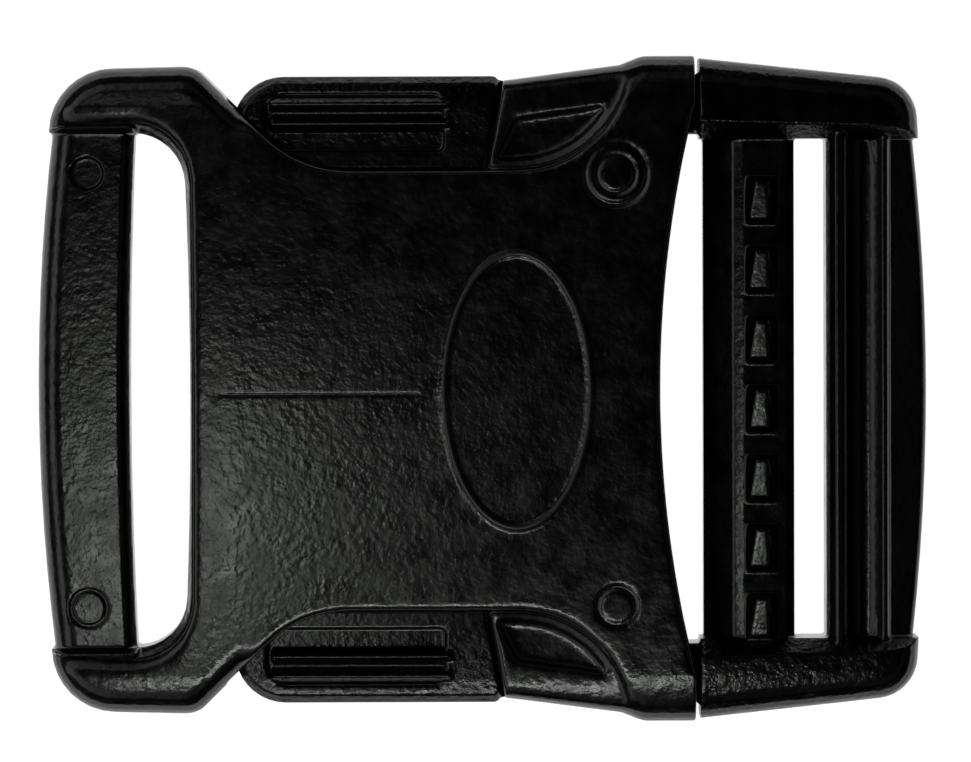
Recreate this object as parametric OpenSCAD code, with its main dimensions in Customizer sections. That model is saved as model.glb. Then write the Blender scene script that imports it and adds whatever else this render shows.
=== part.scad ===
// Side release buckle for 50 mm webbing, fastened: a hollow socket with a fixed web bar, and a
// plug with a toothed ladder bar whose two spring arms latch in the side windows of the socket.
// X runs from the socket's web bar to the plug's, Y across the webbing, Z up out of the flat back.

/* [Webbing] */
// Width of the webbing
web_w = 50; // [44:0.5:56]
// Play of the webbing in the socket's fixed slot, both sides together
fixed_play = 2.6; // [1.6:0.1:4]
// Play of the webbing in the plug's ladder, both sides together
ladder_play = 1.0; // [0.6:0.1:2.4]

/* [Thickness] */
// Thickness of the socket at the middle of its crown
body_t = 12.4; // [11.4:0.1:14]
// Fall of the crowned face from the middle to the outer edge
crown = 0.9; // [0.4:0.1:1.4]
// Thickness of the socket's upper and lower plates
plate_t = 2.3; // [1.9:0.1:2.6]
// Fall of the upper face and rise of the lower face towards the two web bars
nose_drop = 1.3; // [0.6:0.1:1.8]
// Radius of the soft upper rim of both mouldings
rim_r = 2.3; // [1.2:0.1:2.5]
// Radius of the lower rim
back_r = 1.1; // [0.6:0.1:1.6]

/* [Socket frame] */
// Width of the socket's web bar at its middle
bar_w = 9.4; // [8:0.1:10.5]
// Thickness of that bar
bar_t = 6.2; // [5:0.1:7]
// Outward bow of that bar's outer edge
bar_bow = 1.6; // [0.8:0.1:2.2]
// Width of the fixed slot at its middle
slot_w = 6.3; // [5:0.1:7.5]
// Bow of each long wall of the fixed slot
slot_bow = 0.65; // [0.2:0.05:1]
// Corner radius of the slot on the body side
slot_r = 5.4; // [3:0.1:6.5]
// Width of the lead-in slope round the slot
lead_in = 1.9; // [1:0.1:2.4]
// Width of that slope on the body side of the slot
lead_in_x = 1.4; // [0.7:0.1:1.8]
// Width of the rails at the slot's ends
rail_w = 6.8; // [6:0.1:8]
// Corner radius of the frame in plan
frame_r = 6.6; // [5:0.1:7.2]

/* [Socket body] */
// Length from the slot's wall to the parting plane
body_l = 51.5; // [49:0.1:56]
// Thickness of the wall between the slot and the hollow
end_wall = 3.6; // [3:0.1:4.4]
// Depth of the window notch in the plates, from the frame's side
window_d = 10.7; // [9.9:0.1:11.6]
// Corner radius of the notch towards the slot
notch_r1 = 12.5; // [9:0.1:14]
// Corner radius of the notch towards the mouth
notch_r2 = 11.6; // [9:0.1:13]
// Distance from the slot's wall to the shoulder face of the side bridge
bridge_x = 32.3; // [31:0.1:34]
// Slant of that face, from the frame's side to the plates
shoulder_slant = 2.0; // [1:0.1:2.6]
// Distance from that face to the end of the notch in the plates
notch_end = 12.6; // [11.5:0.1:13.5]
// Step of the side bridge below the plates
bridge_step = 0.9; // [0.5:0.1:1]
// Depth of the three-cornered recess in the bridge below that step
recess_d = 0.6; // [0.3:0.05:0.75]
// Width of the ledge between the plate and that recess
ledge_w = 1.1; // [0.6:0.1:1.6]
// Thickness of the side bridge's outer wall
bridge_wall = 2.3; // [1.8:0.1:2.8]
// How far the mouth's collar stands out beyond the frame
collar_out = 0.9; // [0.5:0.1:1.3]
// Length of the collar along the socket
collar_l = 5.4; // [4:0.1:7]
// How far the middle of the mouth is set back from the parting plane
mouth_bow = 3.6; // [2:0.1:5]
// Width of the bowed part of the mouth
mouth_arc_w = 57.8; // [50:0.2:60]
// Thickness of the two guide ribs in the hollow
rib_t = 1.6; // [1.2:0.1:2.2]
// Distance of each guide rib from the centre line
rib_y = 14; // [10:0.5:16]

/* [Plug] */
// Gap between the two mouldings at the parting plane
part_gap = 0.5; // [0.3:0.05:1]
// How far the plug's sides lie inside the collar's
plug_inset = 0.1; // [0.05:0.05:0.6]
// How far the plug's faces lie below the socket's
plug_lower = 0.4; // [0.2:0.05:0.8]
// Narrowing of each side of the plug towards its end
plug_taper = 2.5; // [1.5:0.1:3.2]
// Corner radius of the plug's end
plug_r = 4.4; // [3.4:0.1:5]
// Width of the slope on the inner side of the plug's rails
rail_lead = 2.4; // [1.4:0.1:3]
// Width of the toothed ladder bar
ladder_w = 9.7; // [9:0.1:11]
// Width of the slot between the plug's two bars
ladder_slot = 3.2; // [2.6:0.1:4]
// Width of the plug's end bar at its middle
end_bar_w = 10.4; // [9.4:0.1:11.5]
// Outward bow of the end bar's outer edge
end_bow = 1.4; // [0.8:0.1:2]
// Depth of the trough along the end bar
trough_d = 1.1; // [0.5:0.1:1.5]
// Height of both bars' undersides above the plug's lower face
bar_lift = 2.0; // [1.4:0.1:2.6]
// Number of teeth on the ladder bar
teeth = 7; // [5:1:9]
// Pitch of the teeth
tooth_pitch = 7.1; // [6:0.1:7.6]
// Length of each tooth across the webbing
tooth_l = 5.2; // [4:0.1:5.6]
// Width of each tooth along the webbing
tooth_w = 3.8; // [3:0.1:4.2]
// Height of the teeth at their tips
tooth_h = 1.6; // [0.9:0.1:2]

/* [Latches] */
// How far the side buttons lie inside the frame's sides
button_in = 1.1; // [0.8:0.1:1.8]
// Width of the button's loop across the buckle
button_w = 10.2; // [9.6:0.1:11]
// Tip radius of the button
button_r = 5.2; // [3.6:0.1:5.6]
// Free space between the tip and the end of the hollow
tip_gap = 0.8; // [0.5:0.1:1.5]
// Gap between the button's shoulder and the side bridge
latch_gap = 0.4; // [0.3:0.05:0.8]
// Height of the space kept free above and below the latches
latch_play = 0.3; // [0.2:0.05:0.5]
// Width of the spring arm
arm_w = 2.9; // [2.4:0.1:3.2]
// Gap between the arm and the bridge's outer wall
arm_gap = 0.5; // [0.3:0.05:0.8]
// Step of the arm's faces below the button's
arm_step = 0.8; // [0.4:0.1:1.2]
// Width of the bevel round the button's faces
button_edge = 0.8; // [0.4:0.1:1]
// Thickness of the button's outer wall
pocket_wall = 1.7; // [1.5:0.1:2.2]
// Thickness of the button's inner wall
inner_wall = 2.5; // [1.9:0.1:3]
// Width of the shallow half of the pocket, beside the inner wall
pocket_w = 2.9; // [2.2:0.1:3.2]
// Set-back of the pocket's deep half from the walls
pocket_lip = 1.1; // [0.6:0.1:1.3]
// Depth of the pocket's deep half
pocket_d = 2.4; // [1.6:0.1:2.8]
// Depth of the pocket's shallow half
pocket_step = 1.1; // [0.6:0.1:1.4]
// Length of the solid shoulder block behind the pocket
shoulder_l = 5.7; // [4.6:0.1:6.6]

/* [Marks] */
// Half length of the raised oval line, along Y
oval_y = 14.2; // [11:0.1:15]
// Half width of the raised oval line, along X
oval_x = 7.7; // [6:0.1:8.5]
// Distance of the oval's centre from the slot's wall
oval_at = 33.3; // [31:0.1:35]
// Height of that line above the top of the crown
oval_h = 0.1; // [0.05:0.05:0.2]
// Width of the raised and engraved lines
line_w = 0.5; // [0.3:0.05:0.8]
// Depth of the engraved lines
line_d = 0.25; // [0.15:0.05:0.4]
// Radius of the round ejector marks on the plate
pin_r = 2.2; // [1.5:0.1:2.6]
// Distance of those marks from the slot's wall
pin_at = 43.4; // [41:0.1:44]
// Distance of those marks from the centre line
pin_y = 22; // [19:0.1:23]
// Radius of the round ejector marks on the web bar
bar_pin_r = 2.1; // [1.4:0.1:2.4]
// Distance of those marks from the bar's outer edge
bar_pin_at = 5.2; // [4.6:0.1:5.8]
// Distance of those marks from the centre line
bar_pin_y = 22.2; // [18:0.1:23]

/* [Hidden] */
far = 60;

// X stations, with the overall length centred on zero
total_l = bar_w + slot_w + body_l + part_gap + ladder_w + ladder_slot + end_bar_w;
x_left = -total_l / 2;
x_slot = x_left + bar_w;
x_body = x_slot + slot_w;
x_hollow = x_body + end_wall;
x_bridge = x_body + bridge_x;
x_part = x_body + body_l;
x_plug = x_part + part_gap;
x_ladder = x_plug + ladder_w;
x_end = x_ladder + ladder_slot;
x_right = x_end + end_bar_w;
x_tip = x_hollow + tip_gap;

// Half widths
slot_y = (web_w + fixed_play) / 2;
frame_y = slot_y + rail_w;
collar_y = frame_y + collar_out;
bridge_y = frame_y - button_in - 0.3;
window_y = frame_y - window_d;
hollow_y = bridge_y - bridge_wall;
plug_y = collar_y - plug_inset;
ladder_y = (web_w + ladder_play) / 2;
button_y = frame_y - button_in;
arm_y = hollow_y - arm_gap;
button_in_y = button_y - button_w;

// Levels
hollow_z0 = plate_t;
hollow_z1 = body_t - plate_t;
latch_z0 = hollow_z0 + latch_play;
latch_z1 = hollow_z1 - latch_play;
mid_z = body_t / 2;
plug_top = body_t - plug_lower;
plug_z0 = plug_lower + bar_lift;
ladder_top = plug_top - 3;

// Unit vector, and the left-hand normal of a direction
function unit(v) = v / norm(v);
function left(v) = [-v[1], v[0]];

// Points of an arc round c from angle a to angle b
function arc(c, r, a, b, n) = [for (i = [0:n]) c + r * [cos(a + (b - a) * i / n), sin(a + (b - a) * i / n)]];

// Fillet of radius v[2] at the vertex v between its neighbours p and q
function fillet(p, v, q) =
    let(at = [v[0], v[1]], u = unit([p[0], p[1]] - at), w = unit([q[0], q[1]] - at))
    let(half = acos(max(-1, min(1, u * w))) / 2)
    v[2] <= 0 || half > 88 ? [at] :
    let(run = v[2] / tan(half), c = at + unit(u + w) * v[2] / sin(half))
    let(from = at + u * run - c, to = at + w * run - c)
    let(a = atan2(from[1], from[0]), turn = atan2(to[1], to[0]) - a)
    let(sweep = turn > 180 ? turn - 360 : turn < -180 ? turn + 360 : turn)
    arc(c, v[2], a, a + sweep, max(2, ceil(abs(sweep) / 11)));

// Closed outline through vertices [x, y, radius]
function rounded(v) = [for (i = [0:len(v) - 1])
    each fillet(v[(i + len(v) - 1) % len(v)], v[i], v[(i + 1) % len(v)])];

// Height of each moulding's upper and lower face over the point (x, y)
function ease(t) = t <= 0 ? 0 : t * t;
function crown_at(y) = crown * pow(y / collar_y, 2);
function socket_taper(x) = nose_drop * ease((x_hollow - x) / (x_hollow - x_left));
function plug_taper_z(x) = plug_lower + nose_drop * ease((x - x_plug) / (x_right - x_plug));
function top_at(x, y, plug) = body_t - crown_at(y) - (plug ? plug_taper_z(x) : socket_taper(x));
function back_at(x, plug) = plug ? plug_taper_z(x) : socket_taper(x);

// The half outline moved inwards by d, with mitred corners
function inset(half, d) =
    let(n = len(half))
    [for (i = [0:n - 1])
        let(u = i > 0 ? unit(half[i] - half[i - 1]) : [0, 1], w = i < n - 1 ? unit(half[i + 1] - half[i]) : [0, -1])
        half[i] + left(u + w) * 2 * d / pow(norm(u + w), 2)];

// Solid over a half outline (run from +X to -X, y > 0) and its mirror image, between the crowned upper
// face and the lower face, with both rims rounded off
module soft_plate(half, plug) {
    n = len(half);
    across = 10;
    steps = 5;
    lower = [for (k = [0:steps]) let(a = 90 * k / steps)
        [for (p = inset(half, back_r * (1 - sin(a)))) [p[0], p[1], back_at(p[0], plug) + back_r * (1 - cos(a))]]];
    upper = [for (k = [0:steps]) let(a = 90 * k / steps)
        [for (p = inset(half, rim_r * (1 - cos(a))))
            [p[0], p[1], top_at(p[0], p[1], plug) - rim_r * (1 - sin(a))]]];
    rings = [for (r = concat(lower, upper)) concat(r, [for (i = [n - 1:-1:0]) [r[i][0], -r[i][1], r[i][2]]])];
    m = len(rings);
    rim = upper[steps];
    inner = [for (p = rim) for (j = [1:across - 1]) let(y = p[1] * (1 - 2 * j / across))
        [p[0], y, top_at(p[0], y, plug)]];
    base = m * 2 * n;
    // Index of the point j across the upper face at station i
    function at(i, j) = j == 0 ? (m - 1) * 2 * n + i
                      : j == across ? m * 2 * n - 1 - i
                      : base + i * (across - 1) + j - 1;
    polyhedron(
        points = concat([for (r = rings) each r], inner),
        faces = concat(
            [for (k = [0:m - 2]) for (i = [0:2 * n - 1]) let(j = (i + 1) % (2 * n), c = k * 2 * n, d = c + 2 * n)
                each [[c + i, d + i, d + j], [c + i, d + j, c + j]]],
            [for (i = [0:n - 2]) each [[i, i + 1, 2 * n - 2 - i], [i, 2 * n - 2 - i, 2 * n - 1 - i]]],
            [for (i = [0:n - 2]) for (j = [0:across - 1])
                each [[at(i, j), at(i, j + 1), at(i + 1, j + 1)], [at(i, j), at(i + 1, j + 1), at(i + 1, j)]]],
            [[for (j = [0:across]) at(n - 1, j)]],
            [[for (j = [across:-1:0]) at(0, j)]]));
}

// A prism over an outline, through the full thickness
module through(outline) {
    translate([0, 0, -far / 2]) linear_extrude(far) polygon(outline);
}

// What lies over and under the plates' faces at the notch, sunk by depth, inside an outline
module sunk(outline, depth) {
    translate([0, 0, body_t - crown_at(window_y) - depth]) linear_extrude(far) polygon(outline);
    translate([0, 0, depth - far]) linear_extrude(far) polygon(outline);
}

// The same shape on both sides of the centre line
module mirrored() {
    children();
    mirror([0, 1, 0]) children();
}

// Half of the socket's frame outline, run over the notches and past the mouth
function socket_outline() =
    let(bow_x = x_left + bar_bow)
    [for (p = rounded([
        [x_part + 6, 0, 0],
        [x_part + 6, collar_y, 0],
        [x_part - collar_l, collar_y, rim_r + 0.6],
        [x_part - collar_l - 2.2, frame_y, 1.6],
        [x_bridge + 1, bridge_y, 0],
        [x_body + 5.4, frame_y - 4.8, 0],
        [x_body + 0.6, frame_y, rim_r + 0.8],
        [bow_x - 0.1, frame_y - 0.3, frame_r],
        [bow_x - 0.4, slot_y - 2, 0],
        [bow_x - 0.4, 0, 0]])) if (p[1] > 0.001) p];

// Notch that the plates leave free over the button and the bridge, on the +Y side. The notch is made
// smaller by d along the plates and at its end
function notch(d = 0) = rounded([
    [x_body + 0.5 - 1, frame_y + 1, 0],
    [x_body + 0.5 + window_d, window_y + d, notch_r1],
    [x_bridge + notch_end - d, window_y + d, notch_r2 - d],
    [x_bridge + notch_end - d, frame_y + 8, 0],
    [x_body + 0.5 - 8, frame_y + 8, 0]]);

// Station of the bridge's slanted shoulder face at the distance y from the centre line
function shoulder_at(y) = x_bridge - shoulder_slant * (frame_y - y) / window_d;

// Everything on the slot's side of the shoulder faces, on the +Y side
module before_shoulder() {
    through([[-far, 0], [shoulder_at(0), 0], [shoulder_at(far), far], [-far, far]]);
}

// Bar of rounded section, swept along the bow of the frame's end and cut off at the slot's wall
module web_bar() {
    half = slot_y + rail_w * 0.4;
    r_bow = (pow(slot_y, 2) + pow(bar_bow, 2)) / (2 * bar_bow);
    turn = asin(half / r_bow);
    z0 = mid_z - bar_t / 2;
    z1 = mid_z + bar_t / 2;
    difference() {
        translate([x_left + r_bow, 0, 0]) rotate([0, 0, 180 - turn]) rotate_extrude(angle = 2 * turn, $fn = 220)
            polygon(rounded([
                [r_bow, z0, bar_t * 0.3],
                [r_bow, z1, bar_t * 0.38],
                [r_bow - bar_w - 3, z1, 0],
                [r_bow - bar_w - 3, z0, 0]]));
        through(concat([[x_body, half + 4], [x_slot + slot_bow * pow(half / slot_y, 2), half + 4]],
                       [for (i = [6:-1:-6]) [x_slot + slot_bow * pow(half / slot_y * i / 6, 2), half * i / 6]],
                       [[x_slot + slot_bow * pow(half / slot_y, 2), -half - 4], [x_body, -half - 4]]));
    }
}

// Space between the rails, from the slot's rounded and bowed wall outwards
function frame_space() = rounded(concat(
    [[x_left - 4, slot_y, 0], [x_left - 4, -slot_y, 0], [x_body - slot_bow, -slot_y, slot_r]],
    [for (i = [-4:4]) [x_body - slot_bow * pow(i / 6, 2), slot_y * i / 6, 0]],
    [[x_body - slot_bow, slot_y, slot_r]]));

// Room over and under the web bar, with the sloping lead-in round the slot
module bar_room() {
    for (up = [0, 1]) translate([0, 0, up * body_t]) mirror([0, 0, up]) hull() {
        translate([0, 0, mid_z - bar_t / 2 - 0.01]) linear_extrude(0.01) polygon(rounded([
            [x_body - slot_bow, slot_y, slot_r],
            [x_left - 4, slot_y, 0],
            [x_left - 4, -slot_y, 0],
            [x_body - slot_bow, -slot_y, slot_r]]));
        translate([0, 0, -1]) linear_extrude(0.01) polygon(rounded([
            [x_body - slot_bow + lead_in_x, slot_y + lead_in, slot_r + 1],
            [x_left - 4, slot_y + lead_in, 0],
            [x_left - 4, -slot_y - lead_in, 0],
            [x_body - slot_bow + lead_in_x, -slot_y - lead_in, slot_r + 1]]));
    }
}

function oval(a, b) = [for (i = [0:55]) [x_body + oval_at + a * cos(i * 360 / 56), b * sin(i * 360 / 56)]];

// Raised line round the oval field in the middle of the plate
module oval_line() {
    translate([0, 0, body_t - 1]) linear_extrude(1 + oval_h) difference() {
        polygon(oval(oval_x, oval_y));
        polygon(oval(oval_x - line_w, oval_y - line_w));
    }
}

// Round groove of the outer radius r
module ring(r) {
    difference() {
        cylinder(r = r, h = far, $fn = 48);
        translate([0, 0, -1]) cylinder(r = r - line_w, h = far + 2, $fn = 48);
    }
}

// Marks that the ejector pins leave, and the fine line along the middle of the plate
module marks() {
    for (side = [-1, 1]) {
        translate([x_body + pin_at, side * pin_y, body_t - crown_at(pin_y) - line_d]) {
            ring(pin_r);
            if (side > 0) ring(pin_r + 1.2);
        }
        translate([x_left + bar_pin_at, side * bar_pin_y, mid_z + bar_t / 2 - line_d]) {
            if (side < 0) ring(bar_pin_r);
            if (side > 0) translate([0, 0, -line_d]) cylinder(r = bar_pin_r * 0.8, h = far, $fn = 40);
        }
    }
    translate([x_body + 2.4, -line_w, body_t - line_d / 2]) cube([21, line_w * 0.7, far]);
}

module socket() {
    r_mouth = (pow(mouth_arc_w / 2, 2) + pow(mouth_bow, 2)) / (2 * mouth_bow);
    color([0.09, 0.10, 0.10]) difference() {
        union() {
            difference() {
                soft_plate(socket_outline(), false);
                bar_room();
                through(frame_space());
            }
            web_bar();
            oval_line();
        }
        marks();
        // Mouth
        translate([x_part - mouth_bow + r_mouth, 0, -1]) cylinder(r = r_mouth, h = body_t + 2, $fn = 256);
        translate([x_part, -far, -1]) cube([far, 2 * far, body_t + 2]);
        // Hollow: open at both windows, closed by the bridges beside the mouth
        difference() {
            translate([x_hollow, -far, hollow_z0]) cube([far, 2 * far, hollow_z1 - hollow_z0]);
            mirrored() difference() {
                translate([x_bridge - 4, hollow_y, 0]) cube([far, far, body_t]);
                before_shoulder();
            }
            mirrored() translate([x_hollow - 1, rib_y, 0]) cube([x_bridge + 8 - x_hollow, rib_t, body_t]);
        }
        mirrored() {
            // Window for the button, and the step down to the bridge
            intersection() {
                through(notch());
                before_shoulder();
            }
            sunk(notch(), bridge_step);
            // Three-cornered recess in the bridge
            intersection() {
                sunk([[x_bridge - 1.7, window_y], [x_bridge + 0.9, bridge_y - 4.1],
                      [x_bridge + 10.1, bridge_y - 2.8], [x_bridge + notch_end, bridge_y - 6],
                      [x_bridge + notch_end, window_y]],
                     bridge_step + recess_d);
                through(notch(ledge_w));
            }
        }
    }
}

// Half of the plug's frame outline, run past the parting plane
function plug_outline() = [for (p = rounded([
    [x_plug - 6, 0, 0],
    [x_right - end_bow + 0.6, 0, 0],
    [x_right - end_bow + 0.6, ladder_y - 2, 0],
    [x_right - end_bow + 0.2, plug_y - plug_taper, plug_r],
    [x_plug - 6, plug_y + 0.5, 0]])) if (p[1] > 0.001) p];

// Space between the plug's rails, widened by a slope over and under the bars
module rail_space() {
    half = [[ladder_y + rail_lead, -1], [ladder_y + rail_lead, plug_lower], [ladder_y, plug_z0 + 0.6],
            [ladder_y, ladder_top], [ladder_y + rail_lead, plug_top], [ladder_y + rail_lead, body_t + 1]];
    rotate([90, 0, 90]) translate([0, 0, -far]) linear_extrude(2 * far)
        polygon(concat(half, [for (i = [len(half) - 1:-1:0]) [-half[i][0], half[i][1]]]));
}

module plug() {
    color([0.08, 0.09, 0.09]) union() {
        difference() {
            soft_plate(plug_outline(), true);
            rail_space();
            translate([x_plug - far, -far, -1]) cube([far, 2 * far, body_t + 2]);
        }
        ladder_bar();
        end_bar();
        mirrored() latch();
    }
}

// Toothed bar next to the mouth
module ladder_bar() {
    top = ladder_top;
    rotate([90, 0, 0]) translate([0, 0, -ladder_y - 1]) linear_extrude(2 * ladder_y + 2) polygon([
        [x_plug + 0.4, plug_z0 + 1.6], [x_plug + 1.6, plug_z0], [x_ladder - 1, plug_z0], [x_ladder, plug_z0 + 1],
        [x_ladder, top - 1.4], [x_ladder - 0.9, top], [x_plug + 4.4, top], [x_plug + 3.4, top - 0.2],
        [x_plug + 0.4, top - 2.4]]);
    for (i = [0:teeth - 1])
        translate([x_plug + 4.5, (i - (teeth - 1) / 2) * tooth_pitch - tooth_l + 0.4, top]) tooth();
}

// Tooth that rises to a tip near its +Y end, with a narrow land that slopes down from the tip
module tooth() {
    foot = -0.4;
    low = tooth_h * 0.55;
    polyhedron(
        points = [[0, 0, foot], [tooth_w, 0, foot], [tooth_w, tooth_l, foot], [0, tooth_l, foot],
                  [0.6, 0.9, low], [2.5, 0.9, low], [2.3, tooth_l - 0.5, tooth_h], [1.2, tooth_l - 0.5, tooth_h]],
        faces = [[0, 1, 2, 3], [4, 7, 6, 5], [0, 4, 5, 1], [1, 5, 6], [1, 6, 2], [3, 7, 4], [3, 4, 0],
                 [2, 6, 7, 3]]);
}

// End bar: a straight ridge, trough and lip, and a slope swept along the bowed outer edge
module end_bar() {
    top = plug_top - 2;
    z0 = plug_z0;
    lip_x = x_right - 3.9;
    ridge_x = x_end + 1.8;
    half = ladder_y + 1;
    r_bow = (pow(ladder_y, 2) + pow(end_bow, 2)) / (2 * end_bow);
    turn = asin(half / r_bow);
    rotate([90, 0, 0]) translate([0, 0, -half]) linear_extrude(2 * half) polygon(concat(
        [[x_end, z0 + 1], [x_end + 1, z0], [lip_x - 0.6, z0], [lip_x, z0 + 0.6], [lip_x, top - 1.2],
         [lip_x - 0.3, top - 0.7]],
        [for (i = [0:8]) let(t = i / 8)
            [lip_x - 0.7 - (lip_x - 0.7 - ridge_x) * t, top - 0.6 + 0.3 * t - trough_d * 4 * t * (1 - t)]],
        [[x_end + 1.3, top], [x_end + 0.9, top - 0.1], [x_end + 0.4, top - 0.6], [x_end, top - 1.8]]));
    translate([x_right - r_bow, 0, 0]) rotate([0, 0, -turn]) rotate_extrude(angle = 2 * turn, $fn = 220)
        polygon(rounded([
            [r_bow - 5.6, z0 + 0.3, 0],
            [r_bow - 3, z0 + 0.3, 1],
            [r_bow, z0 + 1.8, 0.9],
            [r_bow, top - 3.2, 1.1],
            [r_bow - 4.2, top - 1.2, 0],
            [r_bow - 5.6, top - 2.2, 0]]));
}

// Outline of the button, drawn in by d on all sides but the shoulder
function button_outline(d) = rounded([
    [x_tip + d, button_in_y + d, 3 - d],
    [shoulder_at(button_in_y + d) - latch_gap, button_in_y + d, 0.5],
    [shoulder_at(button_y - d) - latch_gap, button_y - d, 0.7],
    [x_tip + d, button_y - d, button_r - d]]);

// Spring arm with the button at its end, on the +Y side
module latch() {
    root_x = shoulder_at(button_in_y) - latch_gap;
    h = latch_z1 - latch_z0;
    difference() {
        union() {
            hull() {
                translate([0, 0, latch_z0]) linear_extrude(h) polygon(button_outline(button_edge));
                translate([0, 0, latch_z0 + button_edge]) linear_extrude(h - 2 * button_edge)
                    polygon(button_outline(0));
            }
            translate([0, 0, latch_z0 + arm_step]) linear_extrude(h - 2 * arm_step) polygon(rounded([
                [root_x - 2, button_in_y + 1.6, 0],
                [root_x + 0.5, button_in_y + 1.6, 2],
                [root_x + 5.5, arm_y - arm_w, 4],
                [x_plug + 2, arm_y - arm_w, 0],
                [x_plug + 2, arm_y, 0],
                [root_x - 2, arm_y, 0]]));
        }
        for (up = [0, 1]) translate([0, 0, up * body_t]) mirror([0, 0, up]) {
            pocket(button_in_y + inner_wall, 0, 2.2, latch_z0 + pocket_step);
            pocket(button_in_y + inner_wall + pocket_w, pocket_lip, 0.7, latch_z0 + pocket_d);
        }
    }
}

// Pocket in the button from y0 to lip short of the outer wall, down to the level z1
module pocket(y0, lip, r, z1) {
    shoulder_x = shoulder_at(button_y) - latch_gap - shoulder_l;
    translate([0, 0, -1]) linear_extrude(z1 + 1) polygon(rounded([
        [x_tip + pocket_wall + 1.5 + lip, y0, min(r, 1.4)],
        [shoulder_x - lip / 2, y0, 0.7],
        [shoulder_x - lip / 2, button_y - pocket_wall - lip, min(r, 1.2)],
        [x_tip + pocket_wall + 1.5 + lip, button_y - pocket_wall - lip, r]]));
}

socket();
plug();
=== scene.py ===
import math

import bmesh
import bpy
from mathutils import Matrix, Vector


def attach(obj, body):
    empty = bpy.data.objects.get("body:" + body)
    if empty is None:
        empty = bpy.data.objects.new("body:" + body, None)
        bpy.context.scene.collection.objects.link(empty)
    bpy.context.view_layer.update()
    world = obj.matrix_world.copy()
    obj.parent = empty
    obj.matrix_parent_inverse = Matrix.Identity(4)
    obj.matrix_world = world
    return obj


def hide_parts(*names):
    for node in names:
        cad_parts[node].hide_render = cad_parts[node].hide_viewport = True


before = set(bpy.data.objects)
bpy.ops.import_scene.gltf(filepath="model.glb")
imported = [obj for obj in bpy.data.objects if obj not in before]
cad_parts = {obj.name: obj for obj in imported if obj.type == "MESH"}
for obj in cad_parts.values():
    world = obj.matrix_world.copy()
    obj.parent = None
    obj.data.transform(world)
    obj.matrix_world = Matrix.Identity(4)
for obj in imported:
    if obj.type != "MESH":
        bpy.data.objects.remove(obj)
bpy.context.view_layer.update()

# Socket: the female half, one injection moulding in black acetal, with its web bar, plates, side
# windows and bridges. The mould's steel is spark eroded, so the faces have a pebbled grain, and every
# edge has the small radius that the cutter and the polish leave.
mm = 0.001
thick = 12.4
top_z, mid_z = thick * mm, 6.2 * mm
rim_z = 10.5 * mm
# Web bar: its slot wall, the wall's bow, half length, and how far and how much that side thins.
bar_slot, bar_bow, bar_end = -36.1 * mm, 0.65 * mm, 26.3 * mm
bar_round, bar_thin, bar_past = 1.2 * mm, 0.5, 1.1
# Plates: where their edges at the windows, the webbing slot and the mouth are rounded.
notch_y, frame_in, frame_end = 20.2 * mm, 29 * mm, -43 * mm
slot_edge, mouth_edge = -26.6 * mm, 16 * mm
# Sides: from where to where the rails and shoulders fall off, and by what share.
side_y, side_out, side_drop = 28.3 * mm, 33.9 * mm, 0.19
# Lead-in: the centre of the slot's corner, its inner and outer radius, and its fall.
lead_x, lead_y, slot_in = -35.8 * mm, 22.2 * mm, -35.2 * mm
lead_in, lead_out, lead_drop = 4.7 * mm, 6.7 * mm, 0.2
mark_x, mark_y, mark_r = 13.6 * mm, 22 * mm, 3.9 * mm
oval_x, oval_wide, oval_long = 3.5 * mm, 7.45 * mm, 13.95 * mm
line_band = 0.5 * mm
edge_passes, mark_passes = 40, 9
cell, weld = 0.15 * mm, 2e-6
grain_size = 0.75 * mm
grip_from, grip_full = 24 * mm, 27 * mm
tint_dark, tint_pale = 0.7, 1.4
sheen_spread = 0.05


def block(bm, low, high, turn=Matrix()):
    """A box from its low to its high corner, in mm, turned about its own centre."""
    low, high = Vector(low) * mm, Vector(high) * mm
    made = bmesh.ops.create_cube(bm, size=1)["verts"]
    bmesh.ops.scale(bm, vec=high - low, verts=made)
    bmesh.ops.transform(bm, matrix=Matrix.Translation((low + high) / 2) @ turn, verts=made)
    return made


def applied(piece):
    """The mesh of a piece with its modifiers, or of a curve."""
    return bpy.data.meshes.new_from_object(
        piece.evaluated_get(bpy.context.evaluated_depsgraph_get()))


def moulding(node, name, keep, shape, add=None):
    """A softened copy of the moulding: fine cells, shaped, smoothed, then thinned where flat."""
    bm = bmesh.new()
    bm.from_mesh(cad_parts[node].data)
    bmesh.ops.remove_doubles(bm, verts=bm.verts, dist=weld)
    if add:
        add(bm)
    mesh = bpy.data.meshes.new(name)
    bm.to_mesh(mesh)
    bm.free()
    piece = bpy.data.objects.new(name, mesh)
    bpy.context.scene.collection.objects.link(piece)
    cells = piece.modifiers.new("cells", "REMESH")
    cells.mode = "VOXEL"
    cells.voxel_size = cell
    cells.use_smooth_shade = True
    shell = applied(piece)
    bm = bmesh.new()
    bm.from_mesh(shell)
    shape(bm)
    bm.to_mesh(shell)
    bm.free()
    shell.name = name
    piece.modifiers.clear()
    piece.data = shell
    soften = piece.modifiers.new("soften", "SMOOTH")
    soften.factor = 0.5
    soften.iterations = 4
    thin = piece.modifiers.new("thin", "DECIMATE")
    thin.ratio = keep
    return piece


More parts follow.
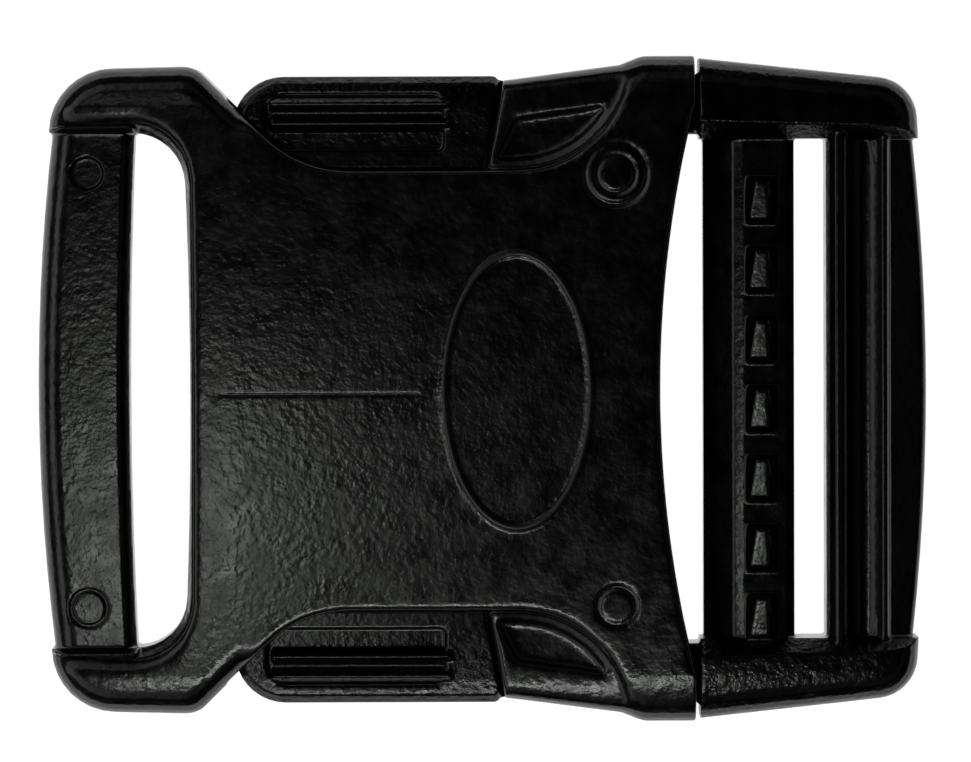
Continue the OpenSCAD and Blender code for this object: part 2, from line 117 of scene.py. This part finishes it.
def acetal(name, colour, rough, depth, grip=0, gloss=0.5):
    """Black moulded plastic: pebbled grain, deeper by grip on the sides, cloudy sheen and tint."""
    material = bpy.data.materials.new(name)
    material.use_nodes = True
    nodes = material.node_tree.nodes
    links = material.node_tree.links
    shader = nodes["Principled BSDF"]
    shader.inputs["Specular IOR Level"].default_value = gloss
    place = nodes.new("ShaderNodeTexCoord")

    def noise(size):
        cloud = nodes.new("ShaderNodeTexNoise")
        cloud.inputs["Scale"].default_value = 1 / size
        cloud.inputs["Detail"].default_value = 2
        cloud.inputs["Roughness"].default_value = 0.5
        links.new(place.outputs["Object"], cloud.inputs["Vector"])
        return cloud.outputs["Fac"]

    def ramp(source, low, high, out_low, out_high):
        spread = nodes.new("ShaderNodeMapRange")
        spread.inputs["From Min"].default_value = low
        spread.inputs["From Max"].default_value = high
        spread.inputs["To Min"].default_value = out_low
        spread.inputs["To Max"].default_value = out_high
        links.new(source, spread.inputs["Value"])
        return spread.outputs["Result"]

    bump = nodes.new("ShaderNodeBump")
    bump.inputs["Strength"].default_value = 1
    bump.inputs["Distance"].default_value = depth
    pebbles = noise(grain_size)
    if grip:
        axes = nodes.new("ShaderNodeSeparateXYZ")
        links.new(place.outputs["Object"], axes.inputs["Vector"])
        out = nodes.new("ShaderNodeMath")
        out.operation = "ABSOLUTE"
        links.new(axes.outputs["Y"], out.inputs[0])
        grow = nodes.new("ShaderNodeMath")
        grow.operation = "MULTIPLY"
        links.new(pebbles, grow.inputs[0])
        links.new(ramp(out.outputs["Value"], grip_from, grip_full, 1, 1 + grip), grow.inputs[1])
        pebbles = grow.outputs["Value"]
    links.new(pebbles, bump.inputs["Height"])
    links.new(bump.outputs["Normal"], shader.inputs["Normal"])

    cloudy = noise(3 * grain_size)
    tint = nodes.new("ShaderNodeMix")
    tint.data_type = "RGBA"
    tint.inputs["A"].default_value = (*(tint_dark * c for c in colour), 1)
    tint.inputs["B"].default_value = (*(tint_pale * c for c in colour), 1)
    links.new(ramp(cloudy, 0.35, 0.65, 0, 1), tint.inputs["Factor"])
    links.new(tint.outputs["Result"], shader.inputs["Base Color"])
    links.new(ramp(cloudy, 0.3, 0.7, rough - sheen_spread, rough + sheen_spread),
              shader.inputs["Roughness"])
    return material


def soften_verts(bm, verts, times):
    for _ in range(times):
        bmesh.ops.smooth_vert(bm, verts=verts, factor=0.5,
                              use_axis_x=True, use_axis_y=True, use_axis_z=True)


def flatten(point, share):
    """Brings a point towards the buckle's middle plane by a share of its height."""
    point.z = mid_z + (point.z - mid_z) * (1 - share)


def lean_sides(bm):
    """The rails and shoulders fall off towards the buckle's sides, as a flattened tube does."""
    for vertex in bm.verts:
        t = (abs(vertex.co.y) - side_y) / (side_out - side_y)
        if t > 0:
            flatten(vertex.co, side_drop * t * t)


def finish_socket(bm):
    """Rounds the web bar's slot side, the slot's lead-in and the plates' edges, softens the pin
    marks, and clears the strip under the oval line."""
    rims, marks, strip = [], [], []
    lean_sides(bm)
    for vertex in bm.verts:
        point = vertex.co
        t = (point.x - bar_slot - bar_bow * (point.y / bar_end) ** 2) / bar_round + 1
        if 0 < t < bar_past and abs(point.y) < bar_end:
            flatten(point, bar_thin * t * t)
        beyond = abs(point.y) - lead_y
        corner = math.hypot(max(point.x - lead_x, 0), beyond)
        t = (lead_out - corner) / (lead_out - lead_in)
        if t > 0 and beyond > 0 and (t < 1 or point.x > slot_in):
            flatten(point, lead_drop * min(t, 1) ** 2 * min(beyond / lead_in, 1))
        if abs(point.z - mid_z) < rim_z - mid_z:
            continue
        reach = math.hypot(point.x - oval_x, point.y)
        ratio = math.hypot((point.x - oval_x) / oval_wide, point.y / oval_long)
        if math.hypot(point.x - mark_x, abs(point.y) - mark_y) < mark_r:
            marks.append(vertex)
        elif point.x < slot_edge or point.x > mouth_edge:
            if abs(point.y) < frame_in and point.x > frame_end:
                rims.append(vertex)
        elif abs(point.y) > notch_y:
            rims.append(vertex)
        elif point.z > mid_z and abs(ratio - 1) * reach < line_band * ratio:
            strip.append(vertex)
    soften_verts(bm, rims, edge_passes)
    soften_verts(bm, marks, mark_passes)
    soften_verts(bm, strip, edge_passes)


socket = moulding("socket", "socket_body", 0.13, finish_socket)
socket_acetal = acetal("socket_acetal", (0.0013, 0.0014, 0.0016), 0.21, 0.043 * mm)
socket.data.materials.append(socket_acetal)
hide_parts("socket")
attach(socket, "root")

# Oval: a thin raised line that the mould leaves on the top plate, half round and proud by a tenth
# of a millimetre. The field inside it is bare.
line_r = 0.45 * mm
line_proud = 0.09 * mm
line_z = top_z + line_proud - line_r
curve = bpy.data.curves.new("oval_line", "CURVE")
curve.dimensions = "3D"
curve.bevel_depth = line_r
curve.bevel_resolution = 4
ring = curve.splines.new("POLY")
ring.use_cyclic_u = True
steps = 120
ring.points.add(steps - 1)
for i, point in enumerate(ring.points):
    a = i * math.tau / steps
    point.co = (oval_x + oval_wide * math.cos(a), oval_long * math.sin(a), line_z, 1)
wire = bpy.data.objects.new("oval_wire", curve)
bpy.context.scene.collection.objects.link(wire)
mesh = applied(wire)
bpy.data.objects.remove(wire)
mesh.name = "oval_line"
oval = bpy.data.objects.new("oval_line", mesh)
bpy.context.scene.collection.objects.link(oval)
mesh.materials.clear()
# The line's acetal is painted paler than the plate's: a painted highlight standing in for the light
# that its rounded top catches.
mesh.materials.append(acetal("line_acetal_painted_highlight", (0.003, 0.0034, 0.0031), 0.36, 0.02 * mm))
mesh.shade_smooth()
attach(oval, "root")

# Plug: the male half, moulded in the same acetal: two rails, the toothed ladder bar, the end bar and
# two spring arms with their buttons. Short tongues close the parting line and the shoulder slits, and
# the buttons' pockets end in a keel where the mould's core comes to an edge.
tongue = (21.76, 26.5, 2.6), (23.4, 32.2, 9.8)
slit_foot, slit_head = (0.33, 21.0), (2.28, 31.6)
slit_wide, slit_low, slit_high = 0.95, 4.2, 8.2
pocket_x = (-21.5, -3.4)
pocket_y = (27.2, 29.2)
pocket_floor, keel_half = 3.1, 0.72


def close_and_keel(bm):
    """Adds the tongues, the slits' fillers and the pockets' keels on both sides."""
    (x0, y0), (x1, y1) = slit_foot, slit_head
    lean = math.atan2(x1 - x0, y1 - y0)
    reach = math.hypot(x1 - x0, y1 - y0) / 2
    cx, cy = (x0 + x1 - slit_wide) / 2, (y0 + y1) / 2
    for side in (1, -1):
        made = block(bm, *tongue)
        made += block(bm, (cx - slit_wide / 2, cy - reach, slit_low),
                      (cx + slit_wide / 2, cy + reach, slit_high),
                      Matrix.Rotation(-lean, 4, "Z"))
        for y in pocket_y:
            for z in (pocket_floor, thick - pocket_floor):
                made += block(bm, (pocket_x[0], y - keel_half, z - keel_half),
                              (pocket_x[1], y + keel_half, z + keel_half),
                              Matrix.Rotation(math.radians(45), 4, "X"))
        if side < 0:
            bmesh.ops.scale(bm, vec=(1, -1, 1), verts=made)
            bmesh.ops.reverse_faces(bm, faces=list({f for v in made for f in v.link_faces}))


plug = moulding("plug", "plug_body", 0.24, lean_sides, add=close_and_keel)
plug_acetal = acetal("plug_acetal", (0.0011, 0.0012, 0.0017), 0.21, 0.035 * mm, 1.2, 0.38)
plug.data.materials.append(plug_acetal)
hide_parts("plug")
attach(plug, "root")

# Studio: the buckle lies on a white light table and is seen from straight above. A softbox hangs
# over the web bar's near half and narrow ones along the near and the far side, and the room's walls
# are a dim band of light round the table.
floor_half, floor_drop = 3, 0.1 * mm
bm = bmesh.new()
bmesh.ops.create_grid(bm, x_segments=1, y_segments=1, size=floor_half)
bmesh.ops.translate(bm, vec=(0, 0, -floor_drop), verts=bm.verts)
floor_mesh = bpy.data.meshes.new("floor")
bm.to_mesh(floor_mesh)
bm.free()
floor = bpy.data.objects.new("floor", floor_mesh)
bpy.context.scene.collection.objects.link(floor)
table = bpy.data.materials.new("light_table")
table.use_nodes = True
glass = table.node_tree.nodes["Principled BSDF"].inputs
glass["Base Color"].default_value = (0.5, 0.5, 0.5, 1)
glass["Roughness"].default_value = 0.9
glass["Specular IOR Level"].default_value = 0
glass["Emission Color"].default_value = (1, 1, 1, 1)
glass["Emission Strength"].default_value = 0.99
floor_mesh.materials.append(table)


def softbox(name, place, aim, width, height, watts):
    lamp = bpy.data.lights.new(name, "AREA")
    lamp.shape = "RECTANGLE"
    lamp.size = width
    lamp.size_y = height
    lamp.energy = watts
    lamp.color = (0.94, 1, 0.92)
    box = bpy.data.objects.new(name, lamp)
    bpy.context.scene.collection.objects.link(box)
    box.location = place
    box.rotation_euler = (Vector(aim) - Vector(place)).to_track_quat("-Z", "Y").to_euler()


softbox("key", (-0.048, -0.036, 0.26), (-0.048, -0.016, 0.012), 0.024, 0.05, 0.02)
softbox("near", (-0.022, -0.122, 0.26), (-0.022, -0.03, 0.012), 0.12, 0.014, 0.095)
softbox("far", (-0.09, 0.1, 0.27), (-0.09, 0.03, 0.012), 0.1, 0.012, 0.006)

world = bpy.data.worlds.new("studio")
bpy.context.scene.world = world
world.use_nodes = True
nodes = world.node_tree.nodes
links = world.node_tree.links
sky = nodes.new("ShaderNodeTexCoord")
part = nodes.new("ShaderNodeSeparateXYZ")
band = nodes.new("ShaderNodeValToRGB")
side = nodes.new("ShaderNodeMapRange")
links.new(sky.outputs["Generated"], part.inputs["Vector"])
links.new(part.outputs["Z"], band.inputs["Fac"])
links.new(part.outputs["X"], side.inputs["Value"])
links.new(band.outputs["Color"], nodes["Background"].inputs["Color"])
links.new(side.outputs["Result"], nodes["Background"].inputs["Strength"])
side.inputs["From Min"].default_value = 0
side.inputs["From Max"].default_value = -0.7
side.inputs["To Min"].default_value = 0.1
side.inputs["To Max"].default_value = 1.6
wall_grey = 0.7
stops = band.color_ramp.elements
stops[0].position, stops[0].color = 0.5, (0.03, 0.03, 0.03, 1)
stops[1].position, stops[1].color = 0.62, (wall_grey, wall_grey, wall_grey, 1)
for where, grey in ((0.8, wall_grey), (0.87, 0.008)):
    stops.new(where).color = (grey, grey, grey, 1)
bpy.context.scene.view_settings.view_transform = "Standard"

# Camera: its picture is 99.53 mm wide at 0.62 m, and then brought 0.6 per cent closer.
seen_at, seen_wide, closer = 0.62, 0.09953, 1.006
eye_x, eye_y, back, height = 0.00037, 0.0006, 0.02, 0.63
roll = math.radians(0.2)
camera = bpy.data.cameras.new("camera")
camera.sensor_width = 36
camera.lens = 36 * seen_at / seen_wide * closer
camera.clip_start = 0.01
camera.clip_end = 10
eye = bpy.data.objects.new("camera", camera)
eye.location = (eye_x, eye_y + back, height)
eye.rotation_euler = (-math.atan(back / height), 0, -roll)
bpy.context.scene.collection.objects.link(eye)
bpy.context.scene.camera = eye
